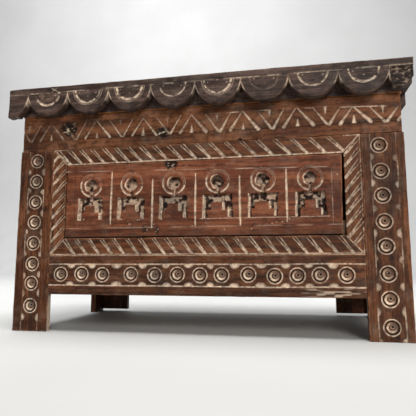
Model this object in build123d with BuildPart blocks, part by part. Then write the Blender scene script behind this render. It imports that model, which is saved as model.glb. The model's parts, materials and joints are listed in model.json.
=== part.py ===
from build123d import *
import os

# A carved softwood puzzle chest on four plank legs, in millimetres.
# X runs along the front, Y from the front to the back, Z up from the floor. The origin is on the
# floor, under the middle of the whole chest with its lid closed.
#
# The flush carved panel in the front is the front of a hidden drawer. The lid turns on two wooden
# pins at the back, and a wooden bolt behind the top rail, reached from the drawer's place through a
# slot in the till floor, slides into a keeper under the lid and locks it.

# ---- driving dimensions ----------------------------------------------------------------------
chest_width = 450.0
chest_depth = 239.0
board = 8.5  # thickness of the planks that the chest is made of
post_width = 44.5
post_height = 218.0
leg_clear = 43.0  # floor to the underside of the rails
bottom_rail_height = 46.0
top_rail_height = 43.0
top_rail_inset = 1.5  # the top rail stops this short of the outer edge of each post
moulding_side = 18.0  # width of the upright herringbone mouldings
moulding_flat = 20.0  # height of the level herringbone mouldings
side_stile_width = 30.0
back_stile_width = 46.5
back_stile_lift = 4.0  # the back stiles are this much shorter than the other legs

panel_thickness = 6.5  # thin boards held in grooves
groove_depth = 5.0
tenon_thickness = 3.0
tenon_length = 12.0
joint_play = 0.1  # room round a tenon or a grooved board

lid_gap = 0.8  # between the rails and the closed lid
lid_thickness = 31.2
lid_front = 18.0  # how far the lid stands out past the front, the back and each end
lid_rear = 7.0
lid_side = 9.0
lid_rail_width = 38.0
lid_end_width = 30.0
lid_board = 12.0  # thickness of the boards inside the lid's frame
lid_recess = 4.0  # how far those boards lie below the top of the frame
apron_thickness = 10.0
apron_drop = 4.8  # how far the tongues hang below the lid's underside
tongue_height = 28.0  # from the scribed line to the tip
tongue_half = 26.6  # each tongue is half an ellipse, a little wider than half the pitch
tongue_pitch = 52.28
tongue_count = 8

pivot_drop = 12.0  # hinge pin's centre below the lid's underside
pivot_inset = 7.0  # hinge pin's centre in from the back
pin_radius = 4.0
pin_play = 0.07
cleat_clear = 0.5  # between a lid cleat and the side of the chest
cleat_lip = 7.0  # how far a cleat hangs below the lid's underside, behind its broken corner
broken_length = 30.0  # the lower front corner of each cleat is broken away this far back
broken_rise = 6.0  # and this far above the lid's underside
lug_radius = 11.0
back_round = 5.0  # rounding of the back's top edge, which lets the lid swing

drawer_gap = 0.6
drawer_gap_right = 1.9  # the drawer front has shrunk, and shows a wider gap at its right end
drawer_half_width = 158.0
drawer_side = 7.0
drawer_back_y = 205.0  # from the chest's front
drawer_floor = 5.0

floor_low = 96.0
floor_thickness = 7.0
till_low = 203.0
till_thickness = 6.0
ledger = 10.0

bolt_width = 10.0
bolt_height = 14.0
bolt_low = 228.0
bolt_front_y = 14.0  # from the chest's front
bolt_play = 0.4
bolt_length = 126.0
bolt_tip_x = 6.0  # the bolt's right end, drawn back
keeper_low_x = 12.0
keeper_width = 18.0
guide_width = 12.0
guide_places = (-64.0, -8.0)  # middle of each bolt guide along X
handle_x = -50.0
handle_radius = 4.0

# ---- places worked out from them ---------------------------------------------------------------
half_width = chest_width / 2
inner_half = half_width - board
rail_half = half_width - post_width
total_depth = lid_front + chest_depth + lid_rear
front = lid_front - total_depth / 2  # Y of the chest's front face
back = front + chest_depth
inner_front = front + board
inner_back = back - board
mid_board = front + board / 2  # middle of the front planks' thickness

bottom_rail_top = leg_clear + bottom_rail_height
carcass_top = post_height + top_rail_height
lid_low = carcass_top + lid_gap
lid_top = lid_low + lid_thickness
lid_half = half_width + lid_side
frame_half = half_width + cleat_clear  # half the length of the lid's frame, between its cleats
lid_front_y = front - lid_front
lid_back_y = back + lid_rear
apron_back_y = lid_front_y + apron_thickness
pivot_y = back - pivot_inset
pivot_z = lid_low - pivot_drop

opening_half = rail_half - moulding_side
opening_low = bottom_rail_top + moulding_flat
opening_high = post_height - moulding_flat
floor_top = floor_low + floor_thickness
runner_top = opening_low + 1.2
drawer_low = runner_top + drawer_gap
drawer_high = opening_high - 4.0
till_top = till_low + till_thickness

SIDES = {"left": -1, "right": 1}
pieces = {}


def span(low, high):
    """The middle and the length between two places, whichever comes first."""
    return (low + high) / 2, abs(high - low)


def add_block(x, y, z, mode=Mode.ADD):
    """Adds a block, or cuts one away, in the part being built. x, y and z are (low, high)."""
    (mid_x, size_x), (mid_y, size_y), (mid_z, size_z) = span(*x), span(*y), span(*z)
    with Locations((mid_x, mid_y, mid_z)):
        Box(size_x, size_y, size_z, mode=mode)


def cut_block(x, y, z):
    add_block(x, y, z, mode=Mode.SUBTRACT)


def loosened(low, high):
    """The same stretch with the joint's play at each end."""
    low, high = sorted((low, high))
    return low - joint_play, high + joint_play


# ---- the carved front ------------------------------------------------------------------------
post_mid = half_width - post_width / 2
post_tenon_half = 14.0
rail_tenon_inset = 7.0  # from each edge of the bottom rail to its tenon
tenon_y = (mid_board - tenon_thickness / 2, mid_board + tenon_thickness / 2)


def post_tenon_x(side):
    return side * post_mid - post_tenon_half, side * post_mid + post_tenon_half


def front_post(side):
    """A front leg: a plank from the floor to the top rail, with a tenon up into that rail."""
    with BuildPart() as post:
        with BuildSketch(Plane.XY) as section:
            with Locations((side * post_mid, mid_board)):
                Rectangle(post_width, board)
        extrude(amount=post_height)
        add_block(post_tenon_x(side), tenon_y, (post_height, post_height + tenon_length))
        cut_block(
            loosened(side * rail_half, side * (rail_half + tenon_length)),
            loosened(*tenon_y),
            loosened(leg_clear + rail_tenon_inset, bottom_rail_top - rail_tenon_inset),
        )
    return post


def front_top_rail():
    """The zigzag rail across the tops of both posts, with a mortise for each."""
    rail_end = half_width - top_rail_inset
    with BuildPart() as rail:
        with BuildSketch(Plane.XY.offset(post_height)) as section:
            with Locations((0, mid_board)):
                Rectangle(2 * rail_end, board)
        extrude(amount=top_rail_height)
        for side in SIDES.values():
            cut_block(
                loosened(*post_tenon_x(side)),
                loosened(*tenon_y),
                loosened(post_height, post_height + tenon_length),
            )
    return rail


def front_bottom_rail():
    """The ring-carved rail between the posts, with a tenon at each end."""
    with BuildPart() as rail:
        with BuildSketch(Plane.XY.offset(leg_clear)) as section:
            with Locations((0, mid_board)):
                Rectangle(2 * rail_half, board)
        extrude(amount=bottom_rail_height)
        for side in SIDES.values():
            add_block(
                (side * rail_half, side * (rail_half + tenon_length)),
                tenon_y,
                (leg_clear + rail_tenon_inset, bottom_rail_top - rail_tenon_inset),
            )
    return rail


def moulding(outer_start, outer_end, inner_end, inner_start):
    """One strip of the mitred herringbone frame, from its four corners in X and Z."""
    with BuildPart() as strip:
        with BuildSketch(Plane.XZ.offset(-inner_front)) as face:
            with BuildLine():
                Polyline(outer_start, outer_end, inner_end, inner_start, close=True)
            make_face()
        extrude(amount=board)
    return strip


outer_corners = {
    "bottom_left": (-rail_half, bottom_rail_top),
    "bottom_right": (rail_half, bottom_rail_top),
    "top_right": (rail_half, post_height),
    "top_left": (-rail_half, post_height),
}
inner_corners = {
    "bottom_left": (-opening_half, opening_low),
    "bottom_right": (opening_half, opening_low),
    "top_right": (opening_half, opening_high),
    "top_left": (-opening_half, opening_high),
}
moulding_ends = {
    "bottom": ("bottom_left", "bottom_right"),
    "right": ("bottom_right", "top_right"),
    "top": ("top_right", "top_left"),
    "left": ("top_left", "bottom_left"),
}

for side_name, side in SIDES.items():
    pieces[f"front_post_{side_name}"] = front_post(side)
pieces["front_top_rail"] = front_top_rail()
pieces["front_bottom_rail"] = front_bottom_rail()
for place, (start, end) in moulding_ends.items():
    pieces[f"moulding_{place}"] = moulding(
        outer_corners[start], outer_corners[end], inner_corners[end], inner_corners[start]
    )

# ---- the two ends: stiles, rails and a thin panel in grooves -----------------------------------
front_stile_y = (inner_front, inner_front + side_stile_width)
rear_stile_y = (back - side_stile_width - 1.0, back)
side_tenon_inset = 8.0
panel_z = (bottom_rail_top - groove_depth, post_height + groove_depth)
panel_y = (front_stile_y[1] - groove_depth, rear_stile_y[0] + groove_depth)


def side_x(side):
    return side * inner_half, side * half_width


def side_middle(side, thickness):
    """A stretch along X of that thickness in the middle of a side plank."""
    middle = side * (half_width - board / 2)
    return middle - thickness / 2, middle + thickness / 2


def side_rail_z(place):
    return {
        "bottom": (leg_clear, bottom_rail_top),
        "top": (post_height, carcass_top),
    }[place]


def cut_rail_mortises(side, y):
    """Mortises in a stile for the tenons of the two side rails."""
    for place in ("bottom", "top"):
        low, high = side_rail_z(place)
        cut_block(
            loosened(*side_middle(side, tenon_thickness)),
            loosened(*y),
            loosened(low + side_tenon_inset, high - side_tenon_inset),
        )


def side_front_stile(side):
    """The front leg's other half: a plank at right angles behind the front post."""
    inner_edge = front_stile_y[1]
    with BuildPart() as stile:
        with BuildSketch(Plane.XY) as section:
            with Locations((span(*side_x(side))[0], span(*front_stile_y)[0])):
                Rectangle(board, side_stile_width)
        extrude(amount=carcass_top)
        cut_rail_mortises(side, (inner_edge - tenon_length, inner_edge))
        cut_block(
            loosened(*side_middle(side, panel_thickness)),
            loosened(inner_edge - groove_depth, inner_edge),
            loosened(*panel_z),
        )
    return stile


def side_rear_stile(side):
    """The rear leg's side plank. It carries the hinge pin, and its top corner is rounded."""
    inner_edge = rear_stile_y[0]
    with BuildPart() as stile:
        with BuildSketch(Plane.YZ.offset(min(side_x(side)))) as face:
            with Locations((span(*rear_stile_y)[0], carcass_top / 2)):
                Rectangle(span(*rear_stile_y)[1], carcass_top)
            # in this sketch X runs to the back and Y runs up
            fillet(face.vertices().group_by(Axis.Y)[-1].sort_by(Axis.X)[-1], radius=back_round)
            with Locations((pivot_y, pivot_z)):
                Circle(pin_radius + pin_play, mode=Mode.SUBTRACT)
        extrude(amount=board)
        cut_rail_mortises(side, (inner_edge, inner_edge + tenon_length))
        cut_block(
            loosened(*side_middle(side, panel_thickness)),
            loosened(inner_edge, inner_edge + groove_depth),
            loosened(*panel_z),
        )
    return stile


def side_rail(side, place):
    """A level rail between the two stiles of one end, grooved for the panel."""
    low, high = side_rail_z(place)
    start, end = front_stile_y[1], rear_stile_y[0]
    groove_z = (high - groove_depth, high) if place == "bottom" else (low, low + groove_depth)
    with BuildPart() as rail:
        add_block(side_x(side), (start, end), (low, high))
        add_block(
            side_middle(side, tenon_thickness),
            (start - tenon_length, end + tenon_length),
            (low + side_tenon_inset, high - side_tenon_inset),
        )
        cut_block(
            loosened(*side_middle(side, panel_thickness)),
            (start - tenon_length, end + tenon_length),
            loosened(*groove_z),
        )
    return rail


def side_panel(side):
    """The thin board of one end, held in the grooves of its stiles and rails."""
    with BuildPart() as panel:
        add_block(side_middle(side, panel_thickness), panel_y, panel_z)
    return panel


for side_name, side in SIDES.items():
    pieces[f"side_front_stile_{side_name}"] = side_front_stile(side)
    pieces[f"side_rear_stile_{side_name}"] = side_rear_stile(side)
    pieces[f"side_top_rail_{side_name}"] = side_rail(side, "top")
    pieces[f"side_bottom_rail_{side_name}"] = side_rail(side, "bottom")
    pieces[f"side_panel_{side_name}"] = side_panel(side)

# ---- the back: two stiles and two thin planks -----------------------------------------------------
back_board_half = inner_half - back_stile_width
back_board_y = (inner_back + 1.0, inner_back + 1.0 + panel_thickness)
back_seam = (leg_clear + carcass_top) / 2


def back_stile(side):
    """The rear leg's back plank, between the side stiles, a little short of the floor."""
    with BuildPart() as stile:
        with BuildSketch(Plane.YZ.offset(min(side * inner_half, side * back_board_half))) as end:
            with Locations((back - board / 2, (back_stile_lift + carcass_top) / 2)):
                Rectangle(board, carcass_top - back_stile_lift)
            fillet(end.vertices().group_by(Axis.Y)[-1].sort_by(Axis.X)[-1], radius=back_round)
        extrude(amount=back_stile_width)
        cut_block(
            (side * back_board_half, side * (back_board_half + groove_depth + joint_play)),
            loosened(*back_board_y),
            (leg_clear - joint_play, carcass_top + 1.0),
        )
    return stile


def back_plank(low, high):
    """One of the two planks of the back, with its ends in the stiles' grooves."""
    with BuildPart() as plank:
        add_block(
            (-back_board_half - groove_depth, back_board_half + groove_depth),
            back_board_y,
            (low, high),
        )
    return plank


for side_name, side in SIDES.items():
    pieces[f"back_stile_{side_name}"] = back_stile(side)
pieces["back_plank_lower"] = back_plank(leg_clear, back_seam)
pieces["back_plank_upper"] = back_plank(back_seam, carcass_top - back_round / 2)

# ---- inside: floor, till floor, ledgers and drawer runners ----------------------------------------
finger_slot_x = (-20.0, 20.0)
finger_slot_y = (front + drawer_back_y + 0.5, inner_back - 2.0)
till_slot_x = (handle_x - 16.0, handle_x + 46.0)
till_slot_y = (front + bolt_front_y - 4.0, front + bolt_front_y + bolt_width + 6.0)
runner_x = (146.0, 172.0)
runner_lip_x = (drawer_half_width + drawer_gap, 172.0)
runner_lip_height = 15.0


def inner_board(z, slot_x, slot_y):
    """A board that fills the inside of the chest, with one slot through it."""
    with BuildPart() as plank:
        with BuildSketch(Plane.XY.offset(z[0])) as outline:
            with Locations((0, span(inner_front, inner_back)[0])):
                Rectangle(2 * inner_half, inner_back - inner_front)
            with Locations((span(*slot_x)[0], span(*slot_y)[0])):
                Rectangle(span(*slot_x)[1], span(*slot_y)[1], mode=Mode.SUBTRACT)
        extrude(amount=z[1] - z[0])
    return plank


def ledger_strip(side, top):
    """A strip along the inside of one end, under the edge of a board."""
    with BuildPart() as strip:
        add_block(
            (side * (inner_half - ledger), side * inner_half),
            (inner_front, inner_back),
            (top - ledger, top),
        )
    return strip


def drawer_runner(side):
    """An L-shaped strip that one side of the drawer slides on and is guided by."""
    length_y = (inner_front, inner_back)
    with BuildPart() as runner:
        add_block(tuple(side * x for x in runner_x), length_y, (floor_top, runner_top))
        add_block(
            tuple(side * x for x in runner_lip_x),
            (inner_front + drawer_gap, inner_back),
            (runner_top, runner_top + runner_lip_height),
        )
    return runner


pieces["chest_floor"] = inner_board((floor_low, floor_top), finger_slot_x, finger_slot_y)
pieces["till_floor"] = inner_board((till_low, till_top), till_slot_x, till_slot_y)
for side_name, side in SIDES.items():
    pieces[f"floor_ledger_{side_name}"] = ledger_strip(side, floor_low)
    pieces[f"till_ledger_{side_name}"] = ledger_strip(side, till_low)
    pieces[f"drawer_runner_{side_name}"] = drawer_runner(side)

# ---- the hidden drawer ---------------------------------------------------------------------------
box_back = front + drawer_back_y
drawer_floor_low = drawer_low + 4.0
drawer_floor_edge = 3.0  # how far the drawer's bottom enters the grooves of its sides
bottom_edge_x = drawer_half_width - drawer_side + drawer_floor_edge
drawer_back_height = drawer_high - drawer_low - 8.0


def cut_drawer_groove():
    """The groove that holds the drawer's bottom, cut along its sides, front and back."""
    cut_block(
        loosened(-bottom_edge_x, bottom_edge_x),
        loosened(inner_front - drawer_floor_edge, box_back - drawer_side + drawer_floor_edge),
        loosened(drawer_floor_low, drawer_floor_low + drawer_floor),
    )


def drawer_front():
    """The carved flush panel, with a wider gap at its right end."""
    with BuildPart() as panel:
        add_block(
            (-opening_half + drawer_gap, opening_half - drawer_gap_right),
            (front, inner_front),
            (opening_low + drawer_gap + 0.2, opening_high - drawer_gap),
        )
        cut_drawer_groove()
    return panel


def drawer_wall(side):
    """One side of the drawer, the full length of its box."""
    with BuildPart() as wall:
        add_block(
            (side * (drawer_half_width - drawer_side), side * drawer_half_width),
            (inner_front, box_back),
            (drawer_low, drawer_high),
        )
        cut_drawer_groove()
    return wall


def drawer_back():
    """The drawer's back, between its sides and a little lower than they are."""
    inside = drawer_half_width - drawer_side
    with BuildPart() as wall:
        add_block(
            (-inside, inside),
            (box_back - drawer_side, box_back),
            (drawer_low, drawer_low + drawer_back_height),
        )
        cut_drawer_groove()
    return wall


def drawer_bottom():
    """The drawer's bottom board, held in the grooves all round."""
    with BuildPart() as bottom:
        add_block(
            (-bottom_edge_x, bottom_edge_x),
            (inner_front - drawer_floor_edge, box_back - drawer_side + drawer_floor_edge),
            (drawer_floor_low, drawer_floor_low + drawer_floor),
        )
    return bottom


pieces["drawer_front"] = drawer_front()
for side_name, side in SIDES.items():
    pieces[f"drawer_side_{side_name}"] = drawer_wall(side)
pieces["drawer_back"] = drawer_back()
pieces["drawer_bottom"] = drawer_bottom()

# ---- the lid: a frame with two boards, cleats, the scalloped apron and its keeper ------------------
lid_z = (lid_low, lid_top)
lid_board_z = (lid_top - lid_recess - lid_board, lid_top - lid_recess)
lid_front_rail_y = (apron_back_y, apron_back_y + lid_rail_width)
lid_rear_rail_y = (lid_back_y - lid_rail_width, lid_back_y)
lid_inner_half = frame_half - lid_end_width
lid_seam_y = span(lid_front_rail_y[1], lid_rear_rail_y[0])[0]
lid_tenon_z = (lid_low + 4.0, lid_low + 10.0)


def cut_lid_groove():
    """The groove for the lid's boards, cut into whichever frame piece is being built."""
    cut_block(
        loosened(-lid_inner_half - groove_depth, lid_inner_half + groove_depth),
        loosened(lid_front_rail_y[1] - groove_depth, lid_rear_rail_y[0] + groove_depth),
        loosened(*lid_board_z),
    )


def lid_tenon_x(side):
    return side * (lid_inner_half + 6.0), side * (frame_half - 6.0)


def lid_long_rail(y, mortise_y):
    """The lid frame's front or rear rail, its whole length between the cleats."""
    with BuildPart() as rail:
        add_block((-frame_half, frame_half), y, lid_z)
        for side in SIDES.values():
            cut_block(
                loosened(*lid_tenon_x(side)), loosened(*mortise_y), loosened(*lid_tenon_z)
            )
        cut_lid_groove()
    return rail


def lid_end_rail(side):
    """The lid frame's short rail at one end, tenoned into the two long ones."""
    start, end = lid_front_rail_y[1], lid_rear_rail_y[0]
    with BuildPart() as rail:
        add_block((side * lid_inner_half, side * frame_half), (start, end), lid_z)
        add_block(lid_tenon_x(side), (start - tenon_length, end + tenon_length), lid_tenon_z)
        cut_lid_groove()
    return rail


def lid_plank(start, end):
    """One of the two boards in the lid's frame."""
    with BuildPart() as plank:
        add_block(
            (-lid_inner_half - groove_depth, lid_inner_half + groove_depth),
            (start, end),
            lid_board_z,
        )
    return plank


def lid_apron():
    """The scalloped strip along the lid's front edge. Its right end has broken away."""
    apron_low = lid_low - apron_drop
    line_z = apron_low + tongue_height  # where the tongues begin
    first_x = -lid_half + tongue_pitch
    with BuildPart() as apron:
        with BuildSketch(Plane.XZ.offset(-apron_back_y)) as face:
            with Locations((0, (line_z + lid_top) / 2)):
                Rectangle(2 * lid_half, lid_top - line_z)
            with Locations([(first_x + n * tongue_pitch, line_z) for n in range(tongue_count)]):
                Ellipse(tongue_half, tongue_height)
            with Locations((-lid_half, line_z)):
                Ellipse(tongue_half, tongue_height)
            with BuildLine():
                Polyline(
                    (lid_half - tongue_pitch / 2, line_z),
                    (lid_half, line_z),
                    (lid_half, line_z - 6.0),
                    (lid_half - 9.0, line_z - 18.0),
                    (lid_half - 16.0, line_z - 21.0),
                    (lid_half - 23.0, line_z - 13.0),
                    close=True,
                )
            make_face()
            with Locations((-lid_half - tongue_pitch / 2, line_z)):
                Rectangle(tongue_pitch, 4 * tongue_height, mode=Mode.SUBTRACT)
            with Locations((0, lid_top + tongue_height)):
                Rectangle(3 * lid_half, 2 * tongue_height, mode=Mode.SUBTRACT)
        extrude(amount=apron_thickness)
    return apron


def lid_cleat(side):
    """An end board of the lid. It hangs past the chest's side, with a lug for the hinge pin.
    Its lower front corner is broken away, which bares the end of the lid's front rail."""
    with BuildPart() as cleat:
        with BuildSketch(Plane.YZ.offset(min(side * frame_half, side * lid_half))) as face:
            with BuildLine():
                Polyline(
                    (apron_back_y, lid_top),
                    (apron_back_y, lid_low + broken_rise),
                    (apron_back_y + broken_length, lid_low + broken_rise),
                    (apron_back_y + broken_length, lid_low - cleat_lip),
                    (pivot_y - 3 * lug_radius, lid_low - cleat_lip),
                    (pivot_y - lug_radius, pivot_z),
                )
                CenterArc((pivot_y, pivot_z), lug_radius, 180, 180)
                Polyline(
                    (pivot_y + lug_radius, pivot_z),
                    (lid_back_y, lid_low),
                    (lid_back_y, lid_top),
                    (apron_back_y, lid_top),
                )
            make_face()
            with Locations((pivot_y, pivot_z)):
                Circle(pin_radius, mode=Mode.SUBTRACT)
        extrude(amount=lid_half - frame_half)
    return cleat


def hinge_pin(side):
    """The wooden pin that is fixed in a cleat and turns in the side stile's hole."""
    with BuildPart() as pin:
        with BuildSketch(Plane.YZ.offset(min(side * inner_half, side * lid_half))) as end:
            with Locations((pivot_y, pivot_z)):
                Circle(pin_radius)
        extrude(amount=lid_half - inner_half)
    return pin


bolt_y = (front + bolt_front_y, front + bolt_front_y + bolt_width)
bolt_z = (bolt_low, bolt_low + bolt_height)


def widened(stretch, room):
    return stretch[0] - room, stretch[1] + room


def lid_keeper():
    """The block under the lid's front rail, with the hole that the bolt slides into."""
    room = bolt_play + 0.2
    x = (keeper_low_x, keeper_low_x + keeper_width)
    with BuildPart() as keeper:
        add_block(x, widened(bolt_y, room + 3.4), (bolt_low - 6.0, lid_low))
        cut_block(x, widened(bolt_y, room), widened(bolt_z, room))
    return keeper


pieces["lid_front_rail"] = lid_long_rail(
    lid_front_rail_y, (lid_front_rail_y[1] - tenon_length, lid_front_rail_y[1])
)
pieces["lid_rear_rail"] = lid_long_rail(
    lid_rear_rail_y, (lid_rear_rail_y[0], lid_rear_rail_y[0] + tenon_length)
)
pieces["lid_board_front"] = lid_plank(lid_front_rail_y[1] - groove_depth, lid_seam_y)
pieces["lid_board_rear"] = lid_plank(lid_seam_y, lid_rear_rail_y[0] + groove_depth)
pieces["lid_apron"] = lid_apron()
pieces["lid_keeper"] = lid_keeper()
for side_name, side in SIDES.items():
    pieces[f"lid_end_rail_{side_name}"] = lid_end_rail(side)
    pieces[f"lid_cleat_{side_name}"] = lid_cleat(side)
    pieces[f"hinge_pin_{side_name}"] = hinge_pin(side)

# ---- the bolt --------------------------------------------------------------------------------------
bolt_mid_y = span(*bolt_y)[0]
handle_low = till_low - 2.5
handle_entry = 8.0  # how far the handle's peg goes into the bolt


def bolt_guide(middle):
    """A block on the inside of the top rail, with a hole that the bolt slides in."""
    x = (middle - guide_width / 2, middle + guide_width / 2)
    with BuildPart() as guide:
        add_block(x, (inner_front, bolt_y[1] + 4.0), widened(bolt_z, 6.0))
        cut_block(x, widened(bolt_y, bolt_play), widened(bolt_z, bolt_play))
    return guide


def lock_bolt():
    """The square wooden bolt, with a hole below for its handle."""
    with BuildPart() as bolt:
        add_block((bolt_tip_x - bolt_length, bolt_tip_x), bolt_y, bolt_z)
        tip_edges = bolt.faces().sort_by(Axis.X)[-1].edges()
        chamfer(tip_edges, length=1.5)
        with Locations(Location((handle_x, bolt_mid_y, bolt_low + handle_entry / 2))):
            Cylinder(handle_radius, handle_entry, mode=Mode.SUBTRACT)
    return bolt


def bolt_handle():
    """The peg that a finger pushes along, through the slot in the till floor."""
    with BuildPart() as handle:
        with BuildSketch(Plane.XY.offset(handle_low)) as section:
            with Locations((handle_x, bolt_mid_y)):
                Circle(handle_radius)
        extrude(amount=bolt_low + handle_entry - handle_low)
        fillet(handle.faces().sort_by(Axis.Z)[0].edges(), radius=1.5)
    return handle


for side_name, middle in zip(SIDES, guide_places):
    pieces[f"bolt_guide_{side_name}"] = bolt_guide(middle)
pieces["lock_bolt"] = lock_bolt()
pieces["bolt_handle"] = bolt_handle()

# ---- write one file per piece ------------------------------------------------------------------------
os.makedirs("parts", exist_ok=True)
for name, piece in pieces.items():
    piece.part.label = name
    export_step(piece.part, f"parts/{name}.step")
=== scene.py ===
"""The looks of a carved wooden puzzle chest: carved boards, aged wood, floor, light and camera."""

import json
import math

import bpy
import numpy as np
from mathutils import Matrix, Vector


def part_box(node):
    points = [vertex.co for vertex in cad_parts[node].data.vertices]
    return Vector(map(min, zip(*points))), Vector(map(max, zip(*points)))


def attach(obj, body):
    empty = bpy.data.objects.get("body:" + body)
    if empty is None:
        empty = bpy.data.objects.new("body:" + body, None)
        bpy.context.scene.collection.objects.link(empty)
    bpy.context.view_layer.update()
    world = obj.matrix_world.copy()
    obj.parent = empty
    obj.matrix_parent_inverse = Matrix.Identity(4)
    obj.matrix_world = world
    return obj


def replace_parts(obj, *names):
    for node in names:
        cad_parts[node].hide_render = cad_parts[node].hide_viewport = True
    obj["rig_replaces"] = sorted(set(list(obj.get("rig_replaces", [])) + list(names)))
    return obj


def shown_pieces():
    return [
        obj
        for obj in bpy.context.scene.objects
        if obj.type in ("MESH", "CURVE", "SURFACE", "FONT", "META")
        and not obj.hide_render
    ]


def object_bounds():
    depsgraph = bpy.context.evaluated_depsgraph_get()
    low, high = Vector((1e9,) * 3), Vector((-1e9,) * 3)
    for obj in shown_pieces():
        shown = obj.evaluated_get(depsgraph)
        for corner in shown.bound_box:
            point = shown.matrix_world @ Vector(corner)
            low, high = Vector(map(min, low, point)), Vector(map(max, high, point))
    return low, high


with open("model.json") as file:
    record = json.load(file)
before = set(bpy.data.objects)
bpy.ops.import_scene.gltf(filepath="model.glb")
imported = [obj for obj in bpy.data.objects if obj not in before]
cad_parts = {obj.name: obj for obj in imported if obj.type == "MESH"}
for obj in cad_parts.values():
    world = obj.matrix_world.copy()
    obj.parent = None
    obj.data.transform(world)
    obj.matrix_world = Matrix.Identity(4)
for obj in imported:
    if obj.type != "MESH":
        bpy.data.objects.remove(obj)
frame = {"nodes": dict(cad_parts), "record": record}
cad_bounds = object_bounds()

MM = 0.001
TURN = 2 * math.pi


def mm(*lengths):
    """Lengths in millimetres, turned into metres."""
    return tuple(length * MM for length in lengths)


# ---- places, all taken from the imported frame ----


def low(node):
    """The corner of a CAD node's box with the lowest x, y and z."""
    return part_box(node)[0]


def high(node):
    """The corner of a CAD node's box with the highest x, y and z."""
    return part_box(node)[1]


plank = 8.5 * MM  # thickness of the front boards
front_y = low("front_post_left").y  # the chest's front face
inner_y = front_y + plank
post_out = high("front_post_right").x
post_in = low("front_post_right").x
rail_out = high("front_top_rail").x
foot_z = low("front_post_left").z
rail_low_z = low("front_bottom_rail").z
rail_high_z = high("front_bottom_rail").z
beam_low_z = low("front_top_rail").z
beam_high_z = high("front_top_rail").z
lid_end = high("lid_apron").x
lid_top_z = high("lid_apron").z
tongue_tip_z = low("lid_apron").z
apron_y = low("lid_apron").y
apron_back_y = high("lid_apron").y
drawer_low = low("drawer_front")
drawer_high = high("drawer_front")
frame_side = 18.0 * MM  # width of the upright herringbone mouldings
frame_flat = 20.0 * MM  # height of the level ones


# ---- carving: how deep, chalky, dark and worn each point of a face is ----


def noise(x, z, cell_x, cell_z, seed):
    """Smooth random values from -1 to 1 that change over a cell's length."""
    grid_x = (x + 1.0) / cell_x
    grid_z = (z + 1.0) / cell_z
    left = np.floor(grid_x).astype(int)
    under = np.floor(grid_z).astype(int)
    share_x = grid_x - left
    share_z = grid_z - under
    share_x = share_x * share_x * (3 - 2 * share_x)
    share_z = share_z * share_z * (3 - 2 * share_z)
    left = left - left.min()
    under = under - under.min()
    knots = np.random.RandomState(seed).uniform(-1, 1, (left.max() + 2, under.max() + 2))
    lower = knots[left, under] * (1 - share_x) + knots[left + 1, under] * share_x
    upper = knots[left, under + 1] * (1 - share_x) + knots[left + 1, under + 1] * share_x
    return lower * (1 - share_z) + upper * share_z


def unit(value):
    """The value, kept between 0 and 1."""
    return np.clip(value, 0, 1)


def fall(distance, reach, gain=1):
    """The gain at a distance of 0, falling evenly to 0 at reach, and nowhere over 1."""
    return unit(gain * (1 - distance / reach))


def smooth(value, start, end):
    """0 before start, 1 after end, and a soft step between them."""
    share = unit((value - start) / (end - start))
    return share * share * (3 - 2 * share)


def to_segment(x, z, start, end):
    """Distance from a straight stroke, and how far along it the nearest point lies."""
    run_x = end[0] - start[0]
    run_z = end[1] - start[1]
    share = ((x - start[0]) * run_x + (z - start[1]) * run_z) / (run_x**2 + run_z**2)
    share = unit(share)
    return np.hypot(x - start[0] - share * run_x, z - start[1] - share * run_z), share


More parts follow.
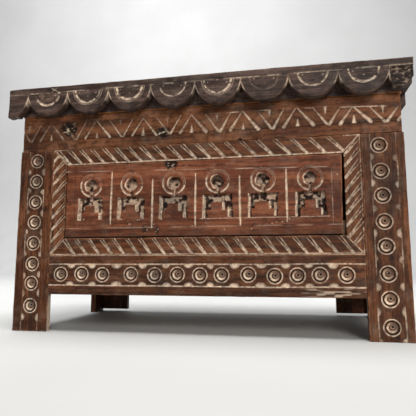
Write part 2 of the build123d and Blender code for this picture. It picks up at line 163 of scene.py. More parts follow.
class Relief:
    """The front face of one board, on a grid of places x, z."""

    def __init__(self, x, z, edge, seed):
        self.x = x
        self.z = z
        self.edge = edge  # distance inward from the board's outline
        self.seed = seed
        self.depth = np.zeros_like(x)
        self.chalk = np.zeros_like(x)
        self.dark = np.zeros_like(x)
        self.wear = np.zeros_like(x)
        self.patchy = np.clip(0.72 + 0.5 * noise(x, z, 2.6 * MM, 2.6 * MM, seed), 0.12, 1)
        self.random = np.random.RandomState(seed + 500)

    def deepen(self, depth):
        """Cuts down to a depth, where the face is not that deep yet."""
        self.depth = np.maximum(self.depth, depth)

    def whiten(self, amount):
        """Lays chalk on, where there is less of it."""
        self.chalk = np.maximum(self.chalk, amount)

    def brush(self, share):
        """Takes a share of the chalk away."""
        self.chalk = self.chalk * (1 - share)

    def darken(self, amount):
        """Darkens the face, where it is less dark: with dirt, and also with painted shade in cuts and gaps.
        """
        self.dark = np.maximum(self.dark, amount)

    def rub(self, amount):
        """Wears the face down to paler wood, where it is less worn."""
        self.wear = np.maximum(self.wear, amount)

    def noise(self, cell_x, cell_z, seed):
        """Smooth random values over the board's face."""
        return noise(self.x, self.z, cell_x, cell_z, seed)

    def cut(self, distance, half, depth, chalk):
        """A V-shaped groove. Chalk has stayed in it, in patches, and painted shade darkens the wood along
        its sides.
        """
        profile = fall(distance, half)
        self.deepen(depth * profile)
        settled = unit(2.2 * profile) * self.patchy * chalk
        self.whiten(unit(settled))
        # painted shade along both sides of the groove
        painted_shade_beside = fall(np.abs(distance - 1.35 * half), 0.9 * half)
        self.darken(0.75 * painted_shade_beside * np.minimum(chalk, 1) * (1.25 - self.patchy))

    def stroke(self, start, end, half, depth, chalk, swell=0.0):
        """One straight cut of the knife, wider towards its end by the share swell."""
        distance, share = to_segment(self.x, self.z, start, end)
        width = half * (1 + swell * (share - 0.5))
        self.cut(distance, width, depth, chalk * (0.8 + 0.4 * swell * (share - 0.5)))

    def circle(self, centre, radius, half, depth, chalk):
        """A groove all the way round a centre."""
        away = np.hypot(self.x - centre[0], self.z - centre[1])
        self.cut(np.abs(away - radius), half, depth, chalk)

    def arc(self, centre, radius, half, depth, chalk, facing, spread):
        """Part of a circle, strongest towards the angle facing and fading over spread."""
        across = self.x - centre[0]
        up = self.z - centre[1]
        angle = np.arctan2(up, across)
        turn = np.abs((angle - facing + math.pi) % TURN - math.pi)
        strength = 1 - smooth(turn, spread * 0.75, spread * 1.15)
        away = np.abs(np.hypot(across, up) - radius)
        profile = fall(away, half) * strength
        self.deepen(depth * profile)
        settled = unit(2.2 * profile) * self.patchy * chalk
        self.whiten(unit(settled))

    def dot(self, centre, radius, depth, chalk):
        """A small round dent."""
        away = np.hypot(self.x - centre[0], self.z - centre[1])
        profile = smooth(radius - away, 0, radius * 0.6)
        self.deepen(depth * profile)
        self.whiten(chalk * profile)

    def chip(self, centre, half_x, half_z, depth, chalk):
        """A triangular nick whose point faces the way half_z does."""
        up = (self.z - centre[1]) / half_z
        room = half_x * unit(1 - up)
        inside = fall(np.abs(self.x - centre[0]), np.maximum(room, 1e-6)) * (up > 0)
        profile = unit(1.6 * inside)
        self.deepen(depth * profile)
        settled = profile * chalk * unit(self.patchy + 0.15)
        self.whiten(settled)

    def scallop(self, centre, half_along, reach, depth, chalk, upright=False):
        """A half-moon chip that stands on a line and points the way reach does."""
        along, up = self.x - centre[0], self.z - centre[1]
        if upright:
            along, up = up, along
        up = up / reach
        away = np.hypot(along / half_along, up)
        profile = unit(2.2 * (1 - away)) * (up > -0.05)
        self.deepen(depth * profile)
        settled = profile * chalk * unit(self.patchy + 0.2)
        self.whiten(settled)
        # painted shade just outside the chip's curved edge
        painted_shade_beside = fall(np.abs(away - 1.12), 0.2) * (up > 0)
        self.darken(0.7 * painted_shade_beside)

    def knot(self, centre, half_x, half_z, depth, black=1.0):
        """A dark knot with a cracked, sunken middle, and old chalk caught in its cracks."""
        cracks = self.noise(2.2 * MM, 1.6 * MM, self.seed + 31)
        away = np.hypot((self.x - centre[0]) / half_x, (self.z - centre[1]) / half_z) * (1 + 0.35 * cracks)
        inside = smooth(1.3 - away, 0, 0.4)
        self.deepen(depth * smooth(1 - away, 0, 0.6))
        self.darken(black * inside)
        caught = 0.6 * black * inside * smooth(cracks, 0.45, 0.7)
        self.brush(0.45 * inside)
        self.whiten(caught)

    def stain(self, centre, half_x, half_z, amount):
        """A dark patch with a ragged outline."""
        ragged = 1 + 0.4 * self.noise(7 * MM, 5 * MM, self.seed + 47)
        away = np.hypot((self.x - centre[0]) / half_x, (self.z - centre[1]) / half_z) * ragged
        self.darken(amount * smooth(1.2 - away, 0, 0.8))

    def finish(self, rounding, hewn=0.18 * MM):
        """Rounds and wears the edges, and adds the plane's and the knife's unevenness."""
        worn = 1 + 0.6 * self.noise(9 * MM, 9 * MM, self.seed + 3)
        radius = rounding * worn
        gap = np.clip(radius - self.edge, 0, radius)
        self.depth = self.depth + radius - np.sqrt(np.maximum(radius**2 - gap**2, 0))
        broad = self.noise(31 * MM, 17 * MM, self.seed + 5)
        fine = self.noise(4.3 * MM, 2.1 * MM, self.seed + 7)
        self.depth = self.depth + hewn * (1 + broad) * 0.7 + 0.35 * hewn * (1 + fine)
        rubbed = 1 - smooth(self.edge, 0.3 * MM, 1.8 * MM)
        self.rub(rubbed * unit(0.6 + 0.6 * self.patchy))


# ---- meshes ----


near_edge = np.array([0, 0.14, 0.34, 0.62, 0.95]) * MM  # places close enough to show a rounded edge


def places(start, end, step):
    """Places from start to end: crowded at both ends for the rounding, a step apart between them."""
    inset = 1.35 * MM
    count = max(2, int(round((end - start - 2 * inset) / step)) + 1)
    middle = np.linspace(start + inset, end - inset, count)
    return np.concatenate([start + near_edge, middle, (end - near_edge)[::-1]])


def quad_sheet(corners, step):
    """A grid over a four-sided outline, corners from low left anticlockwise, and its distance inward."""
    (x00, z00), (x10, z10), (x11, z11), (x01, z01) = corners
    length = max(x10, x11) - min(x00, x01)
    height = max(z01, z11) - min(z00, z10)
    u = places(0, length, step) / length
    v = places(0, height, step) / height
    u, v = np.meshgrid(u, v, indexing="ij")
    x = (x00 * (1 - u) + x10 * u) * (1 - v) + (x01 * (1 - u) + x11 * u) * v
    z = (z00 * (1 - u) + z10 * u) * (1 - v) + (z01 * (1 - u) + z11 * u) * v
    edge = np.full_like(x, 1.0)
    for (ax, az), (bx, bz) in zip(corners, corners[1:] + corners[:1]):
        run = math.hypot(bx - ax, bz - az)
        edge = np.minimum(edge, ((bx - ax) * (z - az) - (bz - az) * (x - ax)) / run)
    return x, z, np.maximum(edge, 0)


def box_corners(x0, x1, z0, z1):
    """The outline of an upright rectangle, anticlockwise from low left."""
    return [(x0, z0), (x1, z0), (x1, z1), (x0, z1)]


def hand_sawn(relief, rounding, amount):
    """Finishes the face, and pulls the outline inward by up to the amount, as hand-sawn edges are."""
    relief.finish(rounding)
    middle_x = (relief.x.max() + relief.x.min()) / 2
    middle_z = (relief.z.max() + relief.z.min()) / 2
    pull = amount * (1 + relief.noise(14 * MM, 14 * MM, relief.seed + 11)) / 2
    pull = pull * (1 - smooth(relief.edge, 0, 5 * MM))
    relief.x = relief.x - pull * np.sign(relief.x - middle_x)
    relief.z = relief.z - pull * np.sign(relief.z - middle_z)
    return relief


def border(columns, rows):
    """Grid points round the outline, anticlockwise seen from the front."""
    loop = [(i, 0) for i in range(columns)]
    loop += [(columns - 1, j) for j in range(1, rows)]
    loop += [(i, rows - 1) for i in range(columns - 2, -1, -1)]
    loop += [(0, j) for j in range(rows - 2, 0, -1)]
    return np.array(loop)


def link(name, data):
    """Puts a mesh, a lamp or a camera in the scene."""
    item = bpy.data.objects.new(name, data)
    bpy.context.scene.collection.objects.link(item)
    return item


def add_piece(name, mesh, material, body, node):
    """A drawn piece that stands in for one CAD node and rides its body."""
    mesh.materials.append(material)
    piece = link(name, mesh)
    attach(piece, body)
    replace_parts(piece, node)
    return piece


def soften(piece, width, angle):
    """Rounds the edges that turn by more than the angle, in degrees."""
    bevel = piece.modifiers.new("bevel", "BEVEL")
    bevel.width = width
    bevel.segments = 3
    bevel.limit_method = "ANGLE"
    bevel.angle_limit = math.radians(angle)


def carved_board(name, relief, face_y, back_y, material, node, body, side_chalk=None):
    """A closed board: the carved front sheet, its edges and its flat back."""
    columns, rows = relief.x.shape
    depth = np.minimum(relief.depth, back_y - face_y - 1.2 * MM)
    front = np.stack([relief.x, face_y + depth, relief.z], -1).reshape(-1, 3)
    index = np.arange(columns * rows).reshape(columns, rows)
    quads = np.stack([index[:-1, :-1], index[1:, :-1], index[1:, 1:], index[:-1, 1:]], -1)
    faces = quads.reshape(-1, 4).tolist()
    loop = border(columns, rows)
    loop_index = index[loop[:, 0], loop[:, 1]]
    points = [front]
    values = {}
    for key in ("chalk", "dark", "wear"):
        values[key] = [getattr(relief, key).reshape(-1)]
    previous = loop_index
    start = front[loop_index]
    for share in (0.2, 0.5, 0.8, 1.0):
        ring = start.copy()
        ring[:, 1] = start[:, 1] * (1 - share) + back_y * share
        new = len(np.concatenate(points)) + np.arange(len(loop))
        points.append(ring)
        fade = 1 - share
        values["dark"].append(values["dark"][0][loop_index])
        values["wear"].append(values["wear"][0][loop_index] * fade)
        chalk = values["chalk"][0][loop_index] * fade
        if side_chalk is not None:
            chalk = np.maximum(chalk, side_chalk(ring))
        values["chalk"].append(chalk)
        after = np.roll(new, -1)
        faces += np.stack([previous, new, after, np.roll(previous, -1)], -1).tolist()
        previous = new
    faces.append(previous[::-1].tolist())
    mesh = bpy.data.meshes.new(name)
    mesh.from_pydata(np.concatenate(points).tolist(), [], faces)
    for key, parts in values.items():
        attribute = mesh.attributes.new(key, "FLOAT", "POINT")
        attribute.data.foreach_set("value", np.concatenate(parts).astype(np.float32))
    mesh.shade_smooth()
    mesh.set_sharp_from_angle(angle=math.radians(42))
    add_piece(name, mesh, material, body, node)


# ---- materials: aged softwood with chalk in its carving ----


class Shader:
    """Short calls for the nodes of one material."""

    def __init__(self, name):
        self.material = bpy.data.materials.new(name)
        self.material.use_nodes = True
        self.nodes = self.material.node_tree.nodes
        self.links = self.material.node_tree.links
        self.nodes.clear()
        self.surface = self.nodes.new("ShaderNodeBsdfPrincipled")
        output = self.nodes.new("ShaderNodeOutputMaterial")
        self.links.new(self.surface.outputs[0], output.inputs["Surface"])

    def feed(self, socket, value):
        """Links another node's output to a socket, or sets its value."""
        if isinstance(value, bpy.types.NodeSocket):
            self.links.new(value, socket)
        else:
            socket.default_value = value

    def math(self, operation, first, second=0.0, clamp=False):
        """The result of one operation on numbers."""
        node = self.nodes.new("ShaderNodeMath")
        node.operation = operation
        node.use_clamp = clamp
        self.feed(node.inputs[0], first)
        self.feed(node.inputs[1], second)
        return node.outputs[0]

    def vector(self, operation, first, second):
        """The result of one operation on two vectors."""
        node = self.nodes.new("ShaderNodeVectorMath")
        node.operation = operation
        self.feed(node.inputs[0], first)
        self.feed(node.inputs[1], second)
        return node.outputs[0]

    def noise(self, place, scale, detail=2.0, roughness=0.5, distortion=0.0):
        """Smooth random values, with about as many cells to a metre as scale says."""
        node = self.nodes.new("ShaderNodeTexNoise")
        self.feed(node.inputs["Vector"], place)
        node.inputs["Scale"].default_value = scale
        node.inputs["Detail"].default_value = detail
        node.inputs["Roughness"].default_value = roughness
        node.inputs["Distortion"].default_value = distortion
        return node.outputs[0]

    def span(self, value, start, end, low_value=0.0, high_value=1.0):
        """A soft step from low_value at start to high_value at end."""
        node = self.nodes.new("ShaderNodeMapRange")
        node.interpolation_type = "SMOOTHSTEP"
        self.feed(node.inputs["Value"], value)
        node.inputs["From Min"].default_value = start
        node.inputs["From Max"].default_value = end
        node.inputs["To Min"].default_value = low_value
        node.inputs["To Max"].default_value = high_value
        return node.outputs["Result"]

    def mix(self, share, first, second, blend="MIX"):
        """The first colour where the share is 0, the second where it is 1."""
        node = self.nodes.new("ShaderNodeMix")
        node.data_type = "RGBA"
        node.blend_type = blend
        self.feed(node.inputs["Factor"], share)
        self.feed(node.inputs[6], first)
        self.feed(node.inputs[7], second)
        return node.outputs[2]

    def attribute(self, name):
        """A value stored on the points of the carved meshes. It is 0 on the other boards."""
        node = self.nodes.new("ShaderNodeAttribute")
        node.attribute_name = name
        return node.outputs["Fac"]


# how much each kind of figure is drawn out, by the axis the grain runs along
GRAIN = {"X": (0.07, 1.0, 1.0), "Y": (1.0, 0.07, 1.0), "Z": (1.0, 1.0, 0.07)}
FIBRE = {"X": (0.02, 1.0, 1.0), "Y": (1.0, 0.02, 1.0), "Z": (1.0, 1.0, 0.02)}
MOTTLE = {"X": (0.3, 1.0, 1.0), "Y": (1.0, 0.3, 1.0), "Z": (1.0, 1.0, 0.3)}
CHALK = (0.84, 0.64, 0.47, 1)
OLD_CHALK = (0.54, 0.44, 0.34, 1)
DUST = (0.5, 0.42, 0.34, 1)
# the colour that the dark values lay on: dirt, and painted shade in cuts and gaps
SOOT_AND_SHADE = (0.008, 0.006, 0.005, 1)


def two_palettes(s, normal, palette, below):
    """The palette's colours, changed to those of below on faces that look down at rest."""
    facing = s.nodes.new("ShaderNodeSeparateXYZ")
    s.feed(facing.inputs[0], normal)
    seen = s.span(facing.outputs[2], -0.6, -0.2)
    return [s.mix(seen, under, over) for under, over in zip(below, palette)]


def own_place(s, coordinates):
    """Places in the wood, shifted by a random amount, so that no two boards show the same grain."""
    chance = s.nodes.new("ShaderNodeObjectInfo").outputs["Random"]
    shift = s.nodes.new("ShaderNodeCombineXYZ")
    for axis, reach in enumerate((5.3, 3.1, 7.7)):
        s.feed(shift.inputs[axis], s.math("MULTIPLY", chance, reach))
    return s.vector("ADD", coordinates, shift.outputs[0])


def sharp_edges(s):
    """1 along the sharp edges of a board and 0 on its faces."""
    bevel = s.nodes.new("ShaderNodeBevel")
    bevel.samples = 6
    bevel.inputs["Radius"].default_value = 1.6 * MM
    flat = s.nodes.new("ShaderNodeNewGeometry").outputs["Normal"]
    turned = s.nodes.new("ShaderNodeVectorMath")
    turned.operation = "DOT_PRODUCT"
    s.feed(turned.inputs[0], bevel.outputs[0])
    s.feed(turned.inputs[1], flat)
    return s.span(turned.outputs["Value"], 0.995, 0.85)


def wood(name, palette, along, dust=0.0, sheen=0.48, edges=False, below=None):
    """Aged softwood: growth rings, fibres, handling patches, dirt and painted shade, rubbed edges, and
    chalk in its cuts.
    Faces that look down at rest take the palette below, where there is one."""
    s = Shader(name)
    texture_place = s.nodes.new("ShaderNodeTexCoord")
    if below:
        palette = two_palettes(s, texture_place.outputs["Normal"], palette, below)
    dark, mid, light, worn = palette
    place = own_place(s, texture_place.outputs["Object"])
    stretched = s.vector("MULTIPLY", place, GRAIN[along])
    drawn = s.vector("MULTIPLY", place, FIBRE[along])

    growth = s.noise(stretched, 30.0, 2.5, 0.45, 0.3)
    rings = s.math("SINE", s.math("MULTIPLY", growth, 46.0))
    late = s.span(rings, 0.1, 0.95)
    streak = s.noise(stretched, 190.0, 3.0, 0.6)
    fibre = s.noise(drawn, 1500.0, 2.0, 0.6)
    patch = s.noise(place, 17.0, 4.0, 0.6)
    speck = s.noise(place, 420.0, 3.0, 0.65)
    mottle = s.noise(s.vector("MULTIPLY", place, MOTTLE[along]), 330.0, 3.0, 0.65)

    colour = s.mix(s.span(streak, 0.40, 0.62), mid, light)
    colour = s.mix(s.math("MULTIPLY", late, 0.55), colour, dark)
    for figure, start, end, most, tone in (
        (fibre, 0.45, 0.70, 0.6, dark),
        (patch, 0.48, 0.72, 0.7, dark),
        (patch, 0.48, 0.25, 0.35, light),
        (speck, 0.56, 0.70, 0.65, dark),
        (mottle, 0.54, 0.68, 0.75, dark),
        (mottle, 0.44, 0.30, 0.5, light),
    ):
        colour = s.mix(s.span(figure, start, end, 0.0, most), colour, tone)

    rubbed = sharp_edges(s) if edges else s.attribute("wear")
    scuffed = s.math("MULTIPLY", rubbed, s.span(s.noise(place, 130.0, 3.0, 0.6), 0.35, 0.65))
    colour = s.mix(s.math("MULTIPLY", scuffed, 0.75), colour, worn)

    dusty = s.math("MULTIPLY", s.span(s.noise(place, 60.0, 5.0, 0.7), 0.45, 0.8), dust)
    colour = s.mix(dusty, colour, DUST)
    # the dark values, dirt and painted shade together, pull the wood towards this colour
    soot_and_shade = s.math("MULTIPLY", s.attribute("dark"), s.span(speck, 0.7, 0.3, 0.82, 1.0), clamp=True)
    colour = s.mix(soot_and_shade, colour, SOOT_AND_SHADE)
    grainy = s.span(s.noise(place, 900.0, 2.0, 0.6), 0.3, 0.56, 0.45, 1.0)
    chalk = s.math("MULTIPLY", s.attribute("chalk"), grainy, clamp=True)
    chalk_colour = s.mix(s.span(patch, 0.35, 0.7), CHALK, OLD_CHALK)
    colour = s.mix(chalk, colour, chalk_colour)
    s.feed(s.surface.inputs["Base Color"], colour)

    rough = s.span(streak, 0.3, 0.7, sheen, sheen + 0.2)
    rough = s.math("ADD", rough, s.math("MULTIPLY", chalk, 0.35), clamp=True)
    rough = s.math("ADD", rough, s.math("MULTIPLY", dusty, 0.3), clamp=True)
    s.feed(s.surface.inputs["Roughness"], rough)
    s.surface.inputs["Specular IOR Level"].default_value = 0.12

    height = s.math("MULTIPLY", fibre, 0.5)
    for figure, share in ((late, 0.22), (speck, 0.45), (patch, 0.9)):
        height = s.math("ADD", height, s.math("MULTIPLY", figure, share))
    bump = s.nodes.new("ShaderNodeBump")
    bump.inputs["Strength"].default_value = 0.55
    bump.inputs["Distance"].default_value = 0.5 * MM
    s.feed(bump.inputs["Height"], height)
    s.feed(s.surface.inputs["Normal"], bump.outputs[0])
    return s.material


def opaque(colours):
    """The colours with a fourth value of 1, as the shader wants them."""
    return [(*colour, 1) for colour in colours]


PALETTES = {  # dark, middle and light wood, and worn wood
    "carved_wood": (
        (0.018, 0.007, 0.004), (0.090, 0.029, 0.011), (0.168, 0.061, 0.025), (0.27, 0.115, 0.055),
    ),
    "panel_wood": (
        (0.040, 0.012, 0.006), (0.140, 0.039, 0.018), (0.235, 0.078, 0.036), (0.31, 0.12, 0.055),
    ),
    "lid_wood": (
        (0.014, 0.009, 0.008), (0.062, 0.036, 0.029), (0.118, 0.074, 0.060), (0.20, 0.125, 0.088),
    ),
    "side_wood": (
        (0.019, 0.007, 0.003), (0.076, 0.027, 0.011), (0.140, 0.053, 0.022), (0.23, 0.095, 0.04),
    ),
    "inner_wood": (
        (0.090, 0.048, 0.022), (0.240, 0.140, 0.070), (0.350, 0.220, 0.115), (0.42, 0.28, 0.16),
    ),
    "peg_wood": (
        (0.060, 0.030, 0.013), (0.170, 0.092, 0.042), (0.270, 0.158, 0.076), (0.34, 0.21, 0.11),
    ),
}
UNDERSIDES = {  # the same four, for faces that look down
    "bare": (
        (0.030, 0.011, 0.005), (0.150, 0.053, 0.019), (0.250, 0.098, 0.034), (0.42, 0.17, 0.06),
    ),
    # fresh bare wood, its colours made brighter as painted light, so that the lid rail's underside looks
    # lit though it lies in shade
    "fresh": (
        (0.110, 0.034, 0.010), (0.420, 0.135, 0.034), (0.600, 0.220, 0.060), (0.70, 0.30, 0.09),
    ),
}
made_woods = {}  # so that boards with the same wood share one material


def wood_for(slot, along, edges=False, below=""):
    """The slot's wood with its grain along X, Y or Z, and the underside named below."""
    key = f"{slot}_{along}" + ("_edged" if edges else "") + below
    if key not in made_woods:
        dust = 0.35 if slot == "inner_wood" else 0.12
        underside = opaque(UNDERSIDES[below]) if below else None
        made_woods[key] = wood(key, opaque(PALETTES[slot]), along, dust, edges=edges, below=underside)
    return made_woods[key]


# ---- the marks that the carver used ----


def ring_mark(relief, x, z, strength):
    """A scribed circle round a dished ring with a drilled middle. Chalk lies thickest at its lower left,
    where it is also painted brighter as a highlight; the gutter, the inner groove and the hole are painted
    dark as shade.
    """
    across = relief.x - x
    up = relief.z - z
    away = np.hypot(across, up)
    patchy = unit(relief.patchy + 0.15)
    relief.circle((x, z), 8.2 * MM, 0.75 * MM, 0.4 * MM, strength)
    # a gutter between the circle and the ring, painted dark as shade
    gutter = fall(np.abs(away - 6.5 * MM), 1.1 * MM, 1.25)
    relief.deepen(1.4 * MM * gutter)
    relief.darken(0.9 * gutter)
    relief.brush(0.8 * gutter)
    # the dished ring: chalk, brightest at the lower left as a painted highlight
    dish = unit(1 - (away / (5.5 * MM)) ** 2)
    relief.deepen(1.3 * MM * np.sqrt(dish))
    turn = np.arctan2(up, across) - math.radians(215)
    facing = unit(0.42 + 0.62 * np.cos(turn))
    rim = fall(np.abs(away - 4.4 * MM), 1.3 * MM, 1.7)
    powder = rim * facing * patchy + 0.12 * (dish > 0) * patchy
    relief.whiten(unit(1.15 * powder * strength))
    # a groove round its middle, painted dark as shade
    inner = fall(np.abs(away - 2.5 * MM), 0.7 * MM)
    relief.deepen(1.9 * MM * inner)
    relief.darken(0.7 * inner * (dish > 0))
    # the drilled hole, a little off centre, painted dark as shade, with a chalked button round it
    middle = np.hypot(across - 0.7 * MM, up - 0.7 * MM)
    button = fall(np.abs(middle - 1.7 * MM), 0.6 * MM)
    relief.brush(0.75 * inner)
    relief.whiten(0.55 * button * strength)
    hole = smooth(1.35 * MM - middle, 0, 0.5 * MM)
    relief.deepen(3.6 * MM * hole)
    relief.brush(hole)
    relief.darken(hole)


def band_ground(relief, inside):
    """The ground between the rings is cut down a little and has gone dark."""
    ragged = 0.3 + 0.25 * relief.noise(6 * MM, 6 * MM, relief.seed + 17)
    relief.darken(inside * ragged)
    relief.deepen(inside * 0.25 * MM)


# ---- front legs ----

board_step = 0.55 * MM  # between the points of a carved face
post_rings = 8


def front_board(name, relief, along, node, side_chalk=None):
    """One carved board of the chest's front."""
    material = wood_for("carved_wood", along)
    carved_board(name, relief, front_y, inner_y, material, node, "carcass", side_chalk)


def front_post(side, lean, first_ring, ring_gap, band, seed):
    """A front leg with its column of rings between the two scribed lines of band.
    The column drifts sideways by lean for each metre up."""
    x0, x1 = sorted((side * post_in, side * post_out))
    relief = Relief(*quad_sheet(box_corners(x0, x1, foot_z, beam_low_z), board_step), seed)
    middle = (band[0] + band[1]) / 2
    sway = relief.noise(1.0, 40 * MM, seed + 1) * 0.6 * MM
    inside = smooth(relief.x - sway, band[0], band[0] + 1 * MM)
    inside = inside * smooth(band[1] - relief.x + sway, 0, 1 * MM)
    band_ground(relief, inside)
    for line_x in band:
        faint = 0.2 + 0.55 * relief.noise(1.0, 19 * MM, seed + 2)
        distance = np.abs(relief.x - line_x - sway)
        relief.cut(distance, 0.8 * MM, 0.4 * MM, 1.0)
        relief.chalk = np.where(distance < 0.8 * MM, relief.chalk * unit(faint), relief.chalk)
    for n in range(post_rings):
        ring_z = first_ring + n * ring_gap + relief.random.uniform(-1.2, 1.2) * MM
        ring_x = middle + lean * (ring_z - foot_z)
        strength = 1.0 - 0.35 * n / (post_rings - 1) + relief.random.uniform(-0.15, 0.1)
        ring_mark(relief, ring_x, ring_z, strength)
        for end, turn in ((band[0], 1), (band[1], -1)):
            chip_z = ring_z - ring_gap / 2 + relief.random.uniform(-1.5, 1.5) * MM
            reach = turn * relief.random.uniform(3.2, 5.4) * MM
            half_along = relief.random.uniform(3.6, 5.6) * MM
            bright = relief.random.uniform(0.35, 0.9) * (1 - 0.04 * n)
            relief.scallop((end, chip_z), half_along, reach, 0.9 * MM, bright, upright=True)
    return relief


def leg_edge_chalk(points):
    """The inner edge of the left leg is rough and whitened below the rail."""
    inner = np.abs(points[:, 0] + post_in) < 0.6 * MM
    below = smooth(rail_low_z + 6 * MM - points[:, 2], 0, 12 * MM)
    return 0.75 * inner * below


left_band = (-post_out + 11.5 * MM, -post_out + 33.0 * MM)
left_post = front_post(-1, 0.0, 30.0 * MM, 24.9 * MM, left_band, 11)
left_post.knot((-post_in - 8.0 * MM, 145 * MM), 1.8 * MM, 3.4 * MM, 0.8 * MM, 0.9)
hand_sawn(left_post, 0.8 * MM, 0.35 * MM)

right_band = (post_in + 9.5 * MM, post_out - 8.5 * MM)
right_post = front_post(1, -0.02, 15.4 * MM, 26.9 * MM, right_band, 12)
hand_sawn(right_post, 0.8 * MM, 0.35 * MM)

front_board("front_leg_left", left_post, "Z", "front_post_left", leg_edge_chalk)
front_board("front_leg_right", right_post, "Z", "front_post_right")


# ---- bottom rail: thirteen rings between two chalked lines ----

bottom_ring_gaps = mm(26.5, 26, 35, 28.5, 26.5, 26, 24.5, 29.5, 28.5, 24, 23.5, 27)  # set out one by one
bottom_ring_z = rail_low_z + 23.3 * MM
bottom_lines = (rail_low_z + 11.2 * MM, rail_low_z + 35.6 * MM)


def bottom_rail():
    """The rail under the frame, with half-moon chips between its rings."""
    relief = Relief(*quad_sheet(box_corners(-post_in, post_in, rail_low_z, rail_high_z), board_step), 21)
    sway = relief.noise(60 * MM, 1.0, 22) * 0.5 * MM
    inside = smooth(relief.z - sway, bottom_lines[0], bottom_lines[0] + 1 * MM)
    inside = inside * smooth(bottom_lines[1] + sway - relief.z, 0, 1 * MM)
    band_ground(relief, inside)
    for line_z in bottom_lines:
        relief.cut(np.abs(relief.z - line_z - sway), 0.9 * MM, 0.5 * MM, 0.85)
    rings = [-post_in + 15.8 * MM]
    for gap in bottom_ring_gaps:
        rings.append(rings[-1] + gap)
    for ring_x in rings:
        ring_z = bottom_ring_z + relief.random.uniform(-0.8, 0.8) * MM
        ring_mark(relief, ring_x, ring_z, relief.random.uniform(0.85, 1.0))
    for here, following in zip(rings, rings[1:]):
        middle = (here + following) / 2
        width = (following - here) * 0.215 + relief.random.uniform(-0.5, 1.0) * MM
        drop = relief.random.uniform(4.8, 6.2) * MM
        relief.scallop((middle, bottom_lines[1]), width, -drop, 1.0 * MM, 1.0)
        rise = relief.random.uniform(4.2, 5.4) * MM
        shifted = middle + relief.random.uniform(-1.2, 1.2) * MM
        relief.scallop((shifted, bottom_lines[0]), width, rise, 1.0 * MM, 0.95)
    # painted shade: the rail a little darker all over, and darker still below its lower line, where less
    # light reaches
    painted_shade_low = 0.14 + 0.3 * smooth(bottom_lines[0] - relief.z, -2 * MM, 6 * MM)
    relief.darken(painted_shade_low)
    scraped = smooth(relief.x, 105 * MM, 135 * MM) * smooth(bottom_lines[0] - relief.z, 0, 3 * MM)
    torn = smooth(relief.noise(9 * MM, 1.6 * MM, 23), -0.1, 0.6)
    relief.whiten(0.55 * scraped * torn)
    relief.whiten(0.6 * relief.patchy * (rail_high_z - relief.z < 0.8 * MM))
    return hand_sawn(relief, 0.7 * MM, 0.3 * MM)


front_board("front_rail_low", bottom_rail(), "X", "front_bottom_rail")


# ---- top rail: two crossing rows of zigzag strokes ----

zigzag_periods = range(-1, 8)  # the first and the last one run off the ends of the rail
zigzag_pitch = 60.2 * MM
zigzag_first = -185.8 * MM
zigzag_low = beam_low_z + 12.5 * MM
zigzag_high = beam_high_z - 9.5 * MM


def zigzag_top(x):
    """The upper scribed line droops towards the right end."""
    return zigzag_high - 5.0 * MM * unit((x - 120 * MM) / (100 * MM))


def top_rail():
    """The rail under the lid. Four strokes make one period of its zigzag."""
    relief = Relief(*quad_sheet(box_corners(-rail_out, rail_out, beam_low_z, beam_high_z), 0.6 * MM), 31)
    for n in zigzag_periods:
        apex = zigzag_first + n * zigzag_pitch + relief.random.uniform(-1.2, 1.2) * MM
        strokes = [
            (apex, apex + 17.0 * MM, 1.0),
            (apex + 16.5 * MM, apex + 31.5 * MM, 0.75),
            (apex + 46.0 * MM, apex + 34.0 * MM, 0.85),
            (apex + 59.0 * MM, apex + 45.5 * MM, 0.9),
        ]
        for top_x, low_x, force in strokes:
            start = (top_x, float(zigzag_top(top_x)))
            end = (low_x, zigzag_low + relief.random.uniform(-0.8, 0.8) * MM)
            aged = 0.35 + 0.65 * float(smooth(low_x, -175 * MM, -95 * MM))
            bright = force * aged * relief.random.uniform(0.8, 1.1)
            broad = 1.2 + 0.45 * float(smooth(low_x, -60 * MM, 30 * MM))
            relief.stroke(start, end, broad * MM * force, 1.0 * MM, bright * 1.15, swell=1.0)
        nick = relief.random.uniform(0.75, 1.1)
        relief.chip((apex, zigzag_low), 2.9 * MM * nick, 9.5 * MM * nick, 1.0 * MM, 0.95 * nick)
        fresh = 0.2 + 0.6 * float(smooth(apex, -60 * MM, 90 * MM))
        relief.chip((apex + 30 * MM, float(zigzag_top(apex))), 2.4 * MM, -10.0 * MM * nick, 0.8 * MM, fresh)
    sway = relief.noise(70 * MM, 1.0, 32) * 0.6 * MM
    lower = np.abs(relief.z - zigzag_low - sway)
    relief.cut(lower, 0.8 * MM, 0.6 * MM, 0.0)
    # painted shade in the lower groove
    relief.darken(0.8 * fall(lower, 0.9 * MM))
    broken = smooth(relief.noise(12 * MM, 1.0, 33), -0.1, 0.5)
    upper = np.abs(relief.z - zigzag_top(relief.x) - sway)
    relief.cut(upper, 0.8 * MM, 0.35 * MM, 0.0)
    line = fall(upper, 0.8 * MM, 2)
    chalked = smooth(relief.x, -30 * MM, 40 * MM)
    relief.whiten(0.75 * line * broken * chalked * relief.patchy)
    # painted shade in the upper groove where it holds no chalk
    relief.darken(0.6 * line * (1 - chalked))
    relief.knot(mm(-161, 243), 9.5 * MM, 7.5 * MM, 0.5 * MM, 1.0)
    relief.knot(mm(-41.5, 233.0), 7.0 * MM, 5.6 * MM, 0.9 * MM, 1.0)
    light_wood = smooth(relief.noise(60 * MM, 8 * MM, 34), -0.6, 0.5)
    relief.rub(0.75 * light_wood)
    relief.chip((50.3 * MM, beam_low_z - 0.5 * MM), 6.0 * MM, 3.2 * MM, 2.4 * MM, 0.0)
    # painted shade in every cut deeper than 1.3 mm
    relief.darken(0.9 * (relief.depth > 1.3 * MM))
    return hand_sawn(relief, 0.8 * MM, 0.35 * MM)


front_board("front_rail_top", top_rail(), "X", "front_top_rail")


# ---- mitred herringbone frame ----

frame_outer = {"low": rail_high_z, "high": beam_low_z, "side": post_in}
frame_inner = {
    "low": rail_high_z + frame_flat,
    "high": beam_low_z - frame_flat,
    "side": post_in - frame_side,
}


